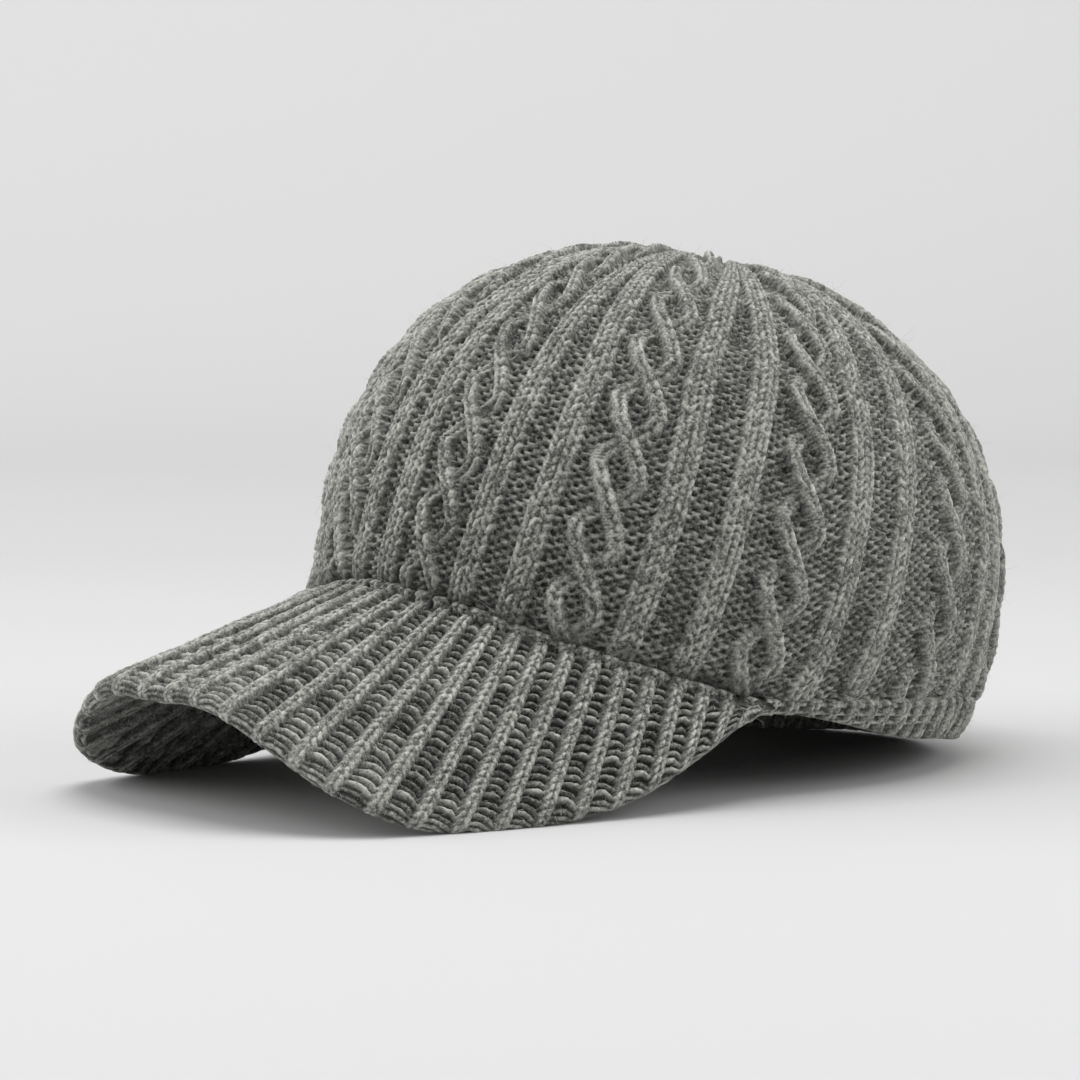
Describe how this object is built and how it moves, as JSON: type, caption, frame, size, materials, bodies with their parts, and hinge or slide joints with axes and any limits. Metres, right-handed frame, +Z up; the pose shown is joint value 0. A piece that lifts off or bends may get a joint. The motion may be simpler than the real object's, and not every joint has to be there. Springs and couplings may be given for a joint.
{
  "type": "knit cap",
  "caption": "Cable-knit wool cap with a ribbed band round its opening and a thick arched ribbed brim.",
  "frame": {"origin": "on the floor, in the middle of the box round the whole cap", "axes": "+Z up, the brim points to -Y, the back of the cap to +Y"},
  "size_m": [0.1638, 0.2762, 0.1441],
  "materials": {
    "wool_crown": "knitted grey marl wool",
    "wool_band": "ribbed grey marl wool",
    "wool_brim": "ribbed grey marl wool"
  },
  "bodies": {
    "root": {"crown": "wool_crown", "hem_band": "wool_band", "brim": "wool_brim"}
  },
  "joints": []
}
